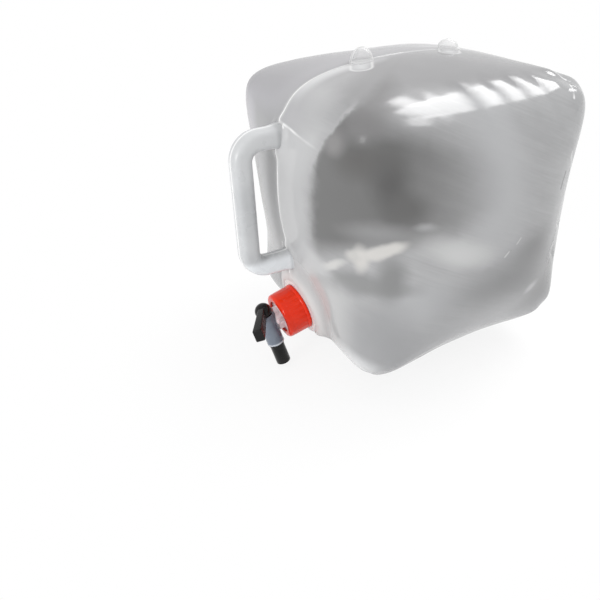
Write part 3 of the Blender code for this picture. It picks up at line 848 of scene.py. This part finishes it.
def handle_mesh():
    """A squarish tube along the loop, flared at its roots, with a fine seam line."""
    path = handle_path()
    verts = []
    for index, (spot, off) in enumerate(path):
        before = path[max(index - 1, 0)][0]
        after = path[min(index + 1, len(path) - 1)][0]
        along = (after - before).normalized()
        up = Vector((1.0, 0.0, 0.0)).cross(along)
        root = math.exp(-((max(off, 0.0) / flare_fade) ** 2))
        groove = math.exp(-(((off - groove_off) / groove_width) ** 2))
        tall = handle_radius * (1 + root_flare * root)
        wide = handle_radius * (1 + 0.10 * root - 0.05 * groove)
        for side in range(handle_sides):
            turn = math.tau * side / handle_sides
            c, s = math.cos(turn), math.sin(turn)
            size = (abs(c) ** squareness + abs(s) ** squareness) ** (-1 / squareness)
            seam = seam_rise if side % (handle_sides // 2) == handle_sides // 4 else 0.0
            across = Vector((wide * size * c, 0.0, 0.0))
            verts.append(spot + across + up * (tall * size + seam) * s)
    faces = []
    for ring in range(len(path) - 1):
        for side in range(handle_sides):
            a = ring * handle_sides + side
            b = ring * handle_sides + (side + 1) % handle_sides
            faces.append((a, b, b + handle_sides, a + handle_sides))
    faces.append(tuple(reversed(range(handle_sides))))
    last = (len(path) - 1) * handle_sides
    faces.append(tuple(range(last, last + handle_sides)))
    mesh = bpy.data.meshes.new("handle_loop")
    mesh.from_pydata([tuple(v) for v in verts], [], faces)
    faced_outward(mesh)
    mesh.shade_smooth()
    return mesh


def handle_material():
    n = Nodes("milky_handle")
    facing = n.add("ShaderNodeLayerWeight", {"Blend": 0.35}).outputs["Facing"]
    tone = n.between(n.cloud(26.0, 4.0), 0.35, 0.65)
    x, y, z = n.split()
    n.base = n.mix(tone, grey(0.46, -0.02), grey(0.52, -0.015))
    # The lower bar is painted lighter, and the upper bar a little lighter, as light falls on them.
    n.paint(grey(0.74, -0.03), n.between(z, 0.120, 0.112))
    n.paint(grey(0.53, -0.015), n.between(z, 0.212, 0.222))
    # A painted sheen on the edges that turn away.
    n.paint(grey(0.61, -0.015), n.between(facing, 0.30, 0.72))
    n.paint(grey(0.90), n.between(n.math("ABSOLUTE", x), 0.0016, 0.0004), 0.75)
    # Painted shade in the groove at each root.
    for root, low, high in ((-0.1310, 0.17, 0.19), (-0.1245, 0.15, 0.13)):
        off = n.math("ABSOLUTE", n.math("SUBTRACT", y, root))
        n.paint(grey(0.34, -0.02), n.between(off, 0.0045, 0.0008), n.between(z, low, high), 0.45)
    n.link(n.base, "Base Color")
    n.link(n.between(n.cloud(70.0), 0.3, 0.7, 0.24, 0.36), "Roughness")
    fine = n.cloud(1.0, 5.0, n.stretched((90.0, 90.0, 30.0)), 0.5)
    n.bump(fine, 0.05, 0.0003)
    n.set(IOR=1.51, Alpha=0.93)
    return n.material


handle = shown("handle_loop", handle_mesh())
handle.data.materials.append(handle_material())
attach(handle, "handle")
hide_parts("carry_handle")

# The neck
# Boss and threaded neck, blown with the bag and thick enough to keep their
# shape. The ring screws on the thread down to the boss.
bore_radius = 0.0155
neck_radius = 0.0180
neck_rise = 0.0170
boss_radius = 0.0303
boss_skirt = 0.0135
thread_pitch = 0.0040
thread_bead = 0.0011
thread_turns = 1.5
thread_start = 0.0050
thread_sides = 12
lathe_sides = 128


def eased(profile, closed, size=0.0004, steps=3):
    """Round each corner of a profile with a short curve."""
    made = []
    count = len(profile)
    for index, corner in enumerate(profile):
        here = Vector((corner[0], corner[1]))
        bend = corner[2] if len(corner) > 2 else size
        if not closed and index in (0, count - 1) or bend == 0:
            made.append(here)
            continue
        before = Vector(profile[index - 1][:2])
        after = Vector(profile[(index + 1) % count][:2])
        back = min(bend, 0.48 * (before - here).length)
        on = min(bend, 0.48 * (after - here).length)
        a = here + (before - here).normalized() * back
        b = here + (after - here).normalized() * on
        for step in range(steps + 1):
            t = step / steps
            made.append(a * (1 - t) ** 2 + here * 2 * t * (1 - t) + b * t ** 2)
    return made


def lathed(name, profile, place, closed=True, sides=lathe_sides, size=0.0004):
    """Turn a rounded profile of (radius, height) about local Z and put it in place.

    An open profile begins and ends on the axis.
    """
    ring = eased(profile, closed, size)
    verts, rows = [], []
    for point in ring:
        if not closed and point.x < 1e-9:
            rows.append([len(verts)] * sides)
            verts.append(Vector((0.0, 0.0, point.y)))
            continue
        rows.append(list(range(len(verts), len(verts) + sides)))
        for side in range(sides):
            turn = math.tau * side / sides
            verts.append(Vector((point.x * math.cos(turn), point.x * math.sin(turn), point.y)))
    faces = []
    pairs = list(zip(rows, rows[1:]))
    if closed:
        pairs.append((rows[-1], rows[0]))
    for first, second in pairs:
        for side in range(sides):
            after = (side + 1) % sides
            loop = [first[side], first[after], second[after], second[side]]
            faces.append(tuple(dict.fromkeys(loop)))
    mesh = bpy.data.meshes.new(name)
    mesh.from_pydata([tuple(place @ v) for v in verts], [], faces)
    faced_outward(mesh)
    mesh.shade_smooth()
    mesh.set_sharp_from_angle(angle=math.radians(50))
    return shown(name, mesh)


def helix(radius, start, turns, pitch, place, steps=48):
    """Points of a thread's line, which starts at a height and climbs by its pitch."""
    path = []
    for step in range(round(steps * turns) + 1):
        turn = step / steps
        angle = math.tau * turn
        spot = Vector((radius * math.cos(angle), radius * math.sin(angle), start + pitch * turn))
        path.append(place @ spot)
    return path


def neck_material():
    n = Nodes("milky_neck")
    tone = n.between(n.cloud(45.0, 4.0), 0.35, 0.65)
    gap = n.vector("DISTANCE", n.place, tuple(neck_place.translation), result="Value")
    n.base = n.mix(tone, (0.62, 0.56, 0.555, 1), (0.70, 0.65, 0.645, 1))
    n.paint((0.52, 0.53, 0.53, 1), n.between(gap, 0.0245, 0.0290))
    n.link(n.base, "Base Color")
    n.link(n.between(n.cloud(80.0), 0.3, 0.7, 0.22, 0.34), "Roughness")
    n.bump(n.cloud(300.0, 4.0), 0.12, 0.0004)
    n.set(IOR=1.51, Subsurface_Weight=0.15, Subsurface_Scale=0.003)
    return n.material


neck_finish = neck_material()
neck = lathed(
    "neck_boss",
    [
        (bore_radius, neck_rise),
        (neck_radius, neck_rise, 0.0007),
        (neck_radius, 0.0, 0.0012),
        (boss_radius, 0.0, 0.0042),
        (boss_radius, -0.0070, 0.003),
        (boss_radius + 0.0040, -boss_skirt, 0.001),
        (bore_radius, -boss_skirt),
    ],
    neck_place,
)
neck.data.materials.append(neck_finish)
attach(neck, "neck")
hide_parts("neck")
thread_line = helix(neck_radius, thread_start, thread_turns, thread_pitch, neck_place)
thread = bead("neck_thread", thread_line, thread_bead, thread_sides, neck_finish)
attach(thread, "neck")

# The gasket
# A flat ring of soft closed-cell foam, laid on the neck's rim. The tap's flange
# presses on it when the ring is tight.


def foam_material():
    n = Nodes("closed_cell_foam")
    cells = n.add("ShaderNodeTexVoronoi", {"Vector": n.place, "Scale": 2600.0}).outputs["Distance"]
    n.link(n.mix(n.between(cells, 0.1, 0.6), grey(0.50), grey(0.68)), "Base Color")
    n.link(n.between(cells, 0.0, 0.6, 0.75, 0.95), "Roughness")
    n.bump(cells, 0.4, 0.0002)
    return n.material


gasket_inner = 0.0158
gasket_outer = 0.0183
gasket_low = neck_rise + 0.0003
gasket_high = gasket_low + 0.0015
gasket = lathed(
    "neck_gasket",
    [
        (gasket_inner, gasket_high),
        (gasket_outer, gasket_high),
        (gasket_outer, gasket_low),
        (gasket_inner, gasket_low),
    ],
    neck_place,
    size=0.0003,
)
gasket.data.materials.append(foam_material())
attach(gasket, "seal")
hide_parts("cap_gasket")

# The screw ring
# Injection-moulded in bright red: a skirt with shallow ribs over a bead, a
# rounded shoulder, and a lip that holds the tap's flange down on the gasket.
ring_radius = 0.0223
ring_foot = 0.0230
ring_height = 0.0234
ring_hole = 0.0160
ring_bore = 0.0198
rib_count = 24
rib_rise = 0.0155
rib_width = 0.0034
rib_proud = 0.00007
rib_middle = 0.0096
lip_thickness = 0.0022
inner_start = 0.0070


def ring_material():
    n = Nodes("bright_red_plastic")
    tone = n.between(n.cloud(38.0, 4.0), 0.3, 0.7)
    n.link(n.mix(tone, (0.65, 0.021, 0.003, 1), (0.71, 0.030, 0.005, 1)), "Base Color")
    scuffs = n.cloud(1.0, 6.0, n.stretched((220.0, 90.0, 220.0)), 0.7)
    n.link(n.between(scuffs, 0.35, 0.75, 0.14, 0.26), "Roughness")
    n.bump(n.cloud(260.0, 2.0), 0.012, 0.0002)
    n.set(IOR=1.5, Specular_IOR_Level=0.26)
    return n.material


def rounded_edges(shape, offset, segments):
    """Bevel every edge of a shape with a round."""
    bmesh.ops.bevel(
        shape, geom=shape.edges[:], offset=offset, segments=segments, profile=0.5, affect="EDGES"
    )


def rib_mesh():
    """One rib: a low bar with rounded long edges, its back sunk in the skirt."""
    middle = (ring_bore + ring_radius) / 2
    depth = ring_radius + rib_proud - middle
    shape = bmesh.new()
    bmesh.ops.create_cube(shape, size=1)
    bmesh.ops.scale(shape, verts=shape.verts, vec=(depth, rib_width, rib_rise))
    bmesh.ops.translate(shape, verts=shape.verts, vec=(middle + depth / 2, 0.0, rib_middle))
    rounded_edges(shape, 0.00042, 3)
    return meshed("ring_ribs", shape)


ring_finish = ring_material()
ring = lathed(
    "screw_ring",
    [
        (ring_hole, ring_height, 0.0006),
        (ring_radius, ring_height, 0.0034),
        (ring_radius, 0.0034, 0.0005),
        (ring_foot, 0.0027, 0.0006),
        (ring_foot, 0.0003, 0.0006),
        (ring_bore, 0.0003),
        (ring_bore, ring_height - lip_thickness),
        (ring_hole, ring_height - lip_thickness),
    ],
    neck_place,
)
ring.data.materials.append(ring_finish)
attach(ring, "cap")
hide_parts("cap_ring")

# Geometry Nodes repeat the rib, turned evenly about the ring's axis.
repeat_nodes, repeat_inputs = maker_tree(
    "repeat_round_axis", copies="Int", first_turn="Float", finish="Material"
)
parts = joined_nodes(
    repeat_nodes,
    {
        "start": "NodeGroupInput",
        "spots": "GeometryNodePoints",
        "number": "GeometryNodeInputIndex",
        "each": "ShaderNodeMath",
        "turn": "ShaderNodeMath",
        "spin": "ShaderNodeCombineXYZ",
        "copies": "GeometryNodeInstanceOnPoints",
        "real": "GeometryNodeRealizeInstances",
        "paint": "GeometryNodeSetMaterial",
        "end": "NodeGroupOutput",
    },
    (
        ("start", "copies", "spots", "Count"),
        ("start", "copies", "each", 1),
        ("number", "Index", "turn", 0),
        ("each", 0, "turn", 1),
        ("start", "first_turn", "turn", 2),
        ("turn", 0, "spin", "Z"),
        ("spots", 0, "copies", "Points"),
        ("start", "Geometry", "copies", "Instance"),
        ("spin", 0, "copies", "Rotation"),
        ("copies", "Instances", "real", "Geometry"),
        ("real", "Geometry", "paint", "Geometry"),
        ("start", "finish", "paint", "Material"),
        ("paint", "Geometry", "end", "Geometry"),
    ),
)
parts["each"].operation = "DIVIDE"
parts["each"].inputs[0].default_value = math.tau
parts["turn"].operation = "MULTIPLY_ADD"
ribs = shown("ring_ribs", rib_mesh())
first_turn = math.pi / rib_count
made_by(
    ribs, repeat_nodes, repeat_inputs, copies=rib_count, first_turn=first_turn, finish=ring_finish
)
ribs.data.transform(neck_place)
ribs.data.shade_smooth()
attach(ribs, "cap")
thread_line = helix(ring_bore, inner_start, thread_turns, thread_pitch, neck_place)
inner_thread = bead("ring_thread", thread_line, thread_bead, thread_sides, ring_finish)
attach(inner_thread, "cap")

# The tap moulding
# One natural, see-through moulding: a flange with two crossed webs, a short
# stem, and an open barrel across it that the black plug turns in.
tap_aim = math.radians(9.0)
stem_radius = 0.0062
barrel_radius = 0.00825
barrel_bore = 0.0072
barrel_upper = 0.0092
barrel_lower = 0.0223
barrel_height = ring_height + 0.0119
barrel_collar = 0.0002
flange_radius = 0.0179
flange_low = neck_rise + 0.0021
flange_high = flange_low + 0.0018
web_reach = 0.025
web_thickness = 0.0016
web_height = 0.0064
way_radius = 0.0032
tap_sides = 96
way_sides = 48
tap_place = neck_place @ Matrix.Rotation(tap_aim, 4, "Z")
barrel_place = (
    tap_place @ Matrix.Translation((0.0, 0.0, barrel_height)) @ Matrix.Rotation(math.pi / 2, 4, "X")
)


def slab(name, size, centre, place):
    """A plate with eased edges."""
    shape = bmesh.new()
    bmesh.ops.create_cube(shape, size=1)
    bmesh.ops.scale(shape, verts=shape.verts, vec=size)
    bmesh.ops.translate(shape, verts=shape.verts, vec=centre)
    rounded_edges(shape, 0.00025, 2)
    mesh = meshed(name, shape)
    mesh.transform(place)
    return shown(name, mesh)


def moulded_together(piece, joined, cut=()):
    """Make several shapes one skin, then cut the holes, as one moulding."""
    for other, operation in [(o, "UNION") for o in joined] + [(o, "DIFFERENCE") for o in cut]:
        change = piece.modifiers.new(operation.lower(), "BOOLEAN")
        change.operation = operation
        change.object = other
        change.solver = "EXACT"
    settled(piece)
    for other in (*joined, *cut):
        bpy.data.objects.remove(other, do_unlink=True)
    piece.data.shade_smooth()
    piece.data.set_sharp_from_angle(angle=math.radians(38))
    return piece


def tap_material():
    n = Nodes("natural_tap_plastic")
    tone = n.between(n.cloud(60.0, 4.0), 0.35, 0.65)
    pink = n.mix(tone, (0.94, 0.78, 0.80, 1), (0.96, 0.86, 0.87, 1))
    blue = n.mix(tone, (0.13, 0.15, 0.20, 1), (0.19, 0.22, 0.27, 1))
    # The barrel looks cooler, because the black plug shows through it.
    run = tuple(barrel_place.col[2].to_3d())
    from_middle = n.vector("SUBTRACT", n.place, tuple(barrel_place.translation))
    off = n.vector("LENGTH", n.vector("CROSS_PRODUCT", from_middle, run), result="Value")
    down = n.vector("DOT_PRODUCT", from_middle, run, result="Value")
    around_barrel = n.between(off, 0.0096, 0.0084)
    n.base = n.mix(around_barrel, pink, blue)
    collar = n.between(down, barrel_lower - 0.0022, barrel_lower - 0.0010)
    n.paint((0.60, 0.63, 0.68, 1), around_barrel, collar)
    n.link(n.base, "Base Color")
    n.link(n.between(n.cloud(110.0), 0.3, 0.7, 0.16, 0.26), "Roughness")
    n.bump(n.cloud(380.0, 3.0), 0.06, 0.0002)
    n.link(n.between(around_barrel, 0.0, 1.0, 0.96, 0.72), "Alpha")
    n.set(IOR=1.5)
    return n.material


tap = lathed(
    "tap_moulding",
    [
        (0.0, flange_low),
        (flange_radius, flange_low),
        (flange_radius, flange_high),
        (stem_radius + 0.0008, flange_high, 0.0012),
        (stem_radius, flange_high + 0.0022, 0.001),
        (stem_radius, barrel_height),
        (0.0, barrel_height),
    ],
    tap_place,
    closed=False,
    sides=tap_sides,
)
barrel = lathed(
    "tap_barrel",
    [
        (0.0, -barrel_upper),
        (barrel_radius, -barrel_upper),
        (barrel_radius, barrel_lower - 0.0016, 0.0003),
        (barrel_radius + barrel_collar, barrel_lower - 0.0012, 0.0003),
        (barrel_radius + barrel_collar, barrel_lower),
        (0.0, barrel_lower),
    ],
    barrel_place,
    closed=False,
    sides=tap_sides,
)
webs = [
    slab(name, size, (0.0, 0.0, flange_high + 0.0026), tap_place)
    for name, size in (
        ("web_across", (web_reach, web_thickness, web_height)),
        ("web_along", (web_thickness, web_reach, web_height)),
    )
]


def drill(name, radius, low, high, place, sides):
    """A round bar that cuts a bore from one height to another."""
    profile = [(0.0, low), (radius, low), (radius, high), (0.0, high)]
    return lathed(name, profile, place, closed=False, sides=sides)


bore = drill("barrel_bore", barrel_bore, -0.02, 0.03, barrel_place, tap_sides)
way = drill("water_way", way_radius, flange_low - 0.004, barrel_height, tap_place, way_sides)
moulded_together(tap, [barrel, *webs], [bore, way])
tap.data.materials.clear()
tap.data.materials.append(tap_material())
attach(tap, "tap")
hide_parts("tap_body")

# The plug
# Black plastic in one piece: a domed hub and a tapered lever at its upper end,
# the turning plug inside the barrel, and the open spout below.
plug_radius = 0.0069
spout_bore = 0.0049
spout_reach = 0.0448
spout_end = -0.005
hub_gap = 0.0003
hub_radius = 0.0080
hub_middle = 0.0132
lever_middle = 0.0146
lever_length = 0.0460
lever_root = (0.0058, 0.0088)
lever_tip = (0.0085, 0.0120)
collar_low = 0.0226
collar_high = 0.0236
collar_proud = 0.0008
lever_rest = math.radians(61.7)


def black_material():
    n = Nodes("black_tap_plastic")
    tone = n.between(n.cloud(50.0, 4.0), 0.3, 0.7)
    n.link(n.mix(tone, (0.004, 0.004, 0.004, 1), (0.010, 0.009, 0.009, 1)), "Base Color")
    n.link(n.between(n.cloud(140.0, 4.0), 0.3, 0.7, 0.22, 0.36), "Roughness")
    n.bump(n.cloud(650.0, 3.0), 0.06, 0.0002)
    n.set(IOR=1.5, Specular_IOR_Level=0.22)
    return n.material


face = barrel_upper + hub_gap
profile = [
    (0.0, spout_end),
    (spout_bore, spout_end, 0),
    (spout_bore, spout_reach),
    (plug_radius, spout_reach, 0.0006),
    (plug_radius, collar_high, 0.0002),
    (plug_radius + collar_proud, collar_high, 0.0002),
    (plug_radius + collar_proud, collar_low, 0.0002),
    (plug_radius, collar_low, 0.0002),
    (plug_radius, -face, 0),
]
dome = math.acos((hub_middle - face) / hub_radius)
for step in range(17):
    angle = dome + (math.pi - dome) * step / 16
    radius = max(hub_radius * math.sin(angle), 0.0) if step < 16 else 0.0
    profile.append((radius, -hub_middle + hub_radius * math.cos(angle), 0))
plug = lathed("tap_plug", profile, barrel_place, closed=False, sides=tap_sides, size=0.0003)

shape = bmesh.new()
bmesh.ops.create_cube(shape, size=1)
for vert in shape.verts:
    at_tip = vert.co.y > 0
    wide, tall = lever_tip if at_tip else lever_root
    vert.co.x *= wide
    vert.co.z = vert.co.z * tall - lever_middle
    vert.co.y = lever_length if at_tip else 0.0
rounded_edges(shape, 0.0012, 4)
bmesh.ops.rotate(
    shape, verts=shape.verts, cent=(0, 0, 0), matrix=Matrix.Rotation(-lever_rest, 3, "Z")
)
mesh = meshed("tap_lever", shape)
mesh.transform(barrel_place)
lever = shown("tap_lever", mesh)
side_place = (
    barrel_place @ Matrix.Rotation(-lever_rest, 4, "Z") @ Matrix.Rotation(math.pi / 2, 4, "X")
)
side_way = drill("side_port", way_radius, 0.0, 0.012, side_place, way_sides)
moulded_together(plug, [lever], [side_way])
plug.data.materials.clear()
plug.data.materials.append(black_material())
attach(plug, "core")
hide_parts("tap_core")

# The studio
# A pale floor that runs out of view, soft lamps above and in front, and the
# camera where the photograph was taken from.
floor_radius = 6.0
floor_drop = 0.0002
camera_side = math.radians(63.512)
camera_rise = math.radians(30.413)
camera_roll = math.radians(-3.159)
camera_away = 0.6059
focal_length = 659.9  # in pixels of a picture 600 wide
picture_width = 600
aim = Vector((0.0194, -0.1265, 0.0740))
back = Vector(
    (
        math.sin(camera_side) * math.cos(camera_rise),
        -math.cos(camera_side) * math.cos(camera_rise),
        math.sin(camera_rise),
    )
)
right = Vector((math.cos(camera_side), math.sin(camera_side), 0.0))
up = back.cross(right)
camera_x = right * math.cos(camera_roll) + up * math.sin(camera_roll)
camera_y = up * math.cos(camera_roll) - right * math.sin(camera_roll)
lens = bpy.data.cameras.new("camera")
lens.sensor_width = 36.0
lens.lens = focal_length / picture_width * lens.sensor_width
camera = bpy.data.objects.new("camera", lens)
camera.matrix_world = Matrix.Translation(aim + back * camera_away) @ Matrix(
    (camera_x, camera_y, back)
).transposed().to_4x4()
bpy.context.scene.collection.objects.link(camera)
bpy.context.scene.camera = camera


def lamp(name, place, target, size, power, roll=0.0):
    """A soft oblong lamp at a place, aimed at a target and rolled by some degrees."""
    light = bpy.data.lights.new(name, "AREA")
    light.shape = "RECTANGLE"
    light.size, light.size_y = size
    light.energy = power
    spot = bpy.data.objects.new(name, light)
    spot.location = place
    facing = (Vector(target) - Vector(place)).to_track_quat("-Z", "Y")
    spot.rotation_euler = (facing @ Quaternion((0, 0, 1), math.radians(roll))).to_euler()
    bpy.context.scene.collection.objects.link(spot)


lamp("softbox_above", (0.025, 0.874, 1.223), (0.125, -0.046, 0.303), (0.66, 0.62), 11.0, 25)
lamp("softbox_right", (0.689, 0.786, 1.383), (0.789, -0.134, 0.463), (0.58, 0.20), 2.8)
lamp("softbox_left", (-0.471, 0.724, 1.319), (-0.371, -0.196, 0.399), (0.50, 0.18), 2.2)
lamp("softbox_front", (0.50, -1.35, 0.45), (0, 0, 0.13), (0.40, 0.40), 9.0)

# The room is pale grey, and white where the camera sees it, also through the film.
world = bpy.data.worlds.new("studio")
bpy.context.scene.world = world
world.use_nodes = True
sky = world.node_tree
background = sky.nodes["Background"]
background.inputs["Color"].default_value = (0.84, 0.84, 0.8425, 1)
paper = sky.nodes.new("ShaderNodeBackground")
paper.inputs["Color"].default_value = (1, 1, 1, 1)
choose = sky.nodes.new("ShaderNodeMixShader")
seen = sky.nodes.new("ShaderNodeLightPath")
either = sky.nodes.new("ShaderNodeMath")
either.operation = "MAXIMUM"
sky.links.new(seen.outputs["Is Camera Ray"], either.inputs[0])
sky.links.new(seen.outputs["Is Transmission Ray"], either.inputs[1])
sky.links.new(either.outputs[0], choose.inputs[0])
sky.links.new(background.outputs[0], choose.inputs[1])
sky.links.new(paper.outputs[0], choose.inputs[2])
sky.links.new(choose.outputs[0], sky.nodes["World Output"].inputs["Surface"])

shape = bmesh.new()
bmesh.ops.create_circle(shape, cap_ends=True, segments=96, radius=floor_radius)
bmesh.ops.translate(shape, verts=shape.verts, vec=(0, 0, -floor_drop))
floor = shown("floor", meshed("floor", shape))
n = Nodes("pale_floor")
n.link(n.mix(n.between(n.cloud(3.0, 2.0), 0.3, 0.7), grey(0.86), grey(0.88)), "Base Color")
n.set(Roughness=0.9, Specular_IOR_Level=0.1)
glow = n.add("ShaderNodeEmission", {"Color": (1, 1, 1, 1), "Strength": 1.0})
rays = n.add("ShaderNodeLightPath")
# Far from the carrier the floor is white paper; near it, it keeps the shadow.
far = n.between(n.vector("LENGTH", n.place, result="Value"), 0.16, 0.34)
direct = n.math("MAXIMUM", rays.outputs["Is Camera Ray"], rays.outputs["Is Glossy Ray"])
direct = n.math("MAXIMUM", direct, rays.outputs["Is Transmission Ray"])
near = n.between(far, 0.0, 1.0, 0.86, 1.0, False)
blend = n.add("ShaderNodeMixShader", {0: n.times(near, direct)})
n.tree.links.new(n.shader.outputs[0], blend.inputs[1])
n.tree.links.new(glow.outputs[0], blend.inputs[2])
n.tree.links.new(blend.outputs[0], n.tree.nodes["Material Output"].inputs["Surface"])
floor.data.materials.append(n.material)

bpy.context.scene.view_settings.view_transform = "Standard"
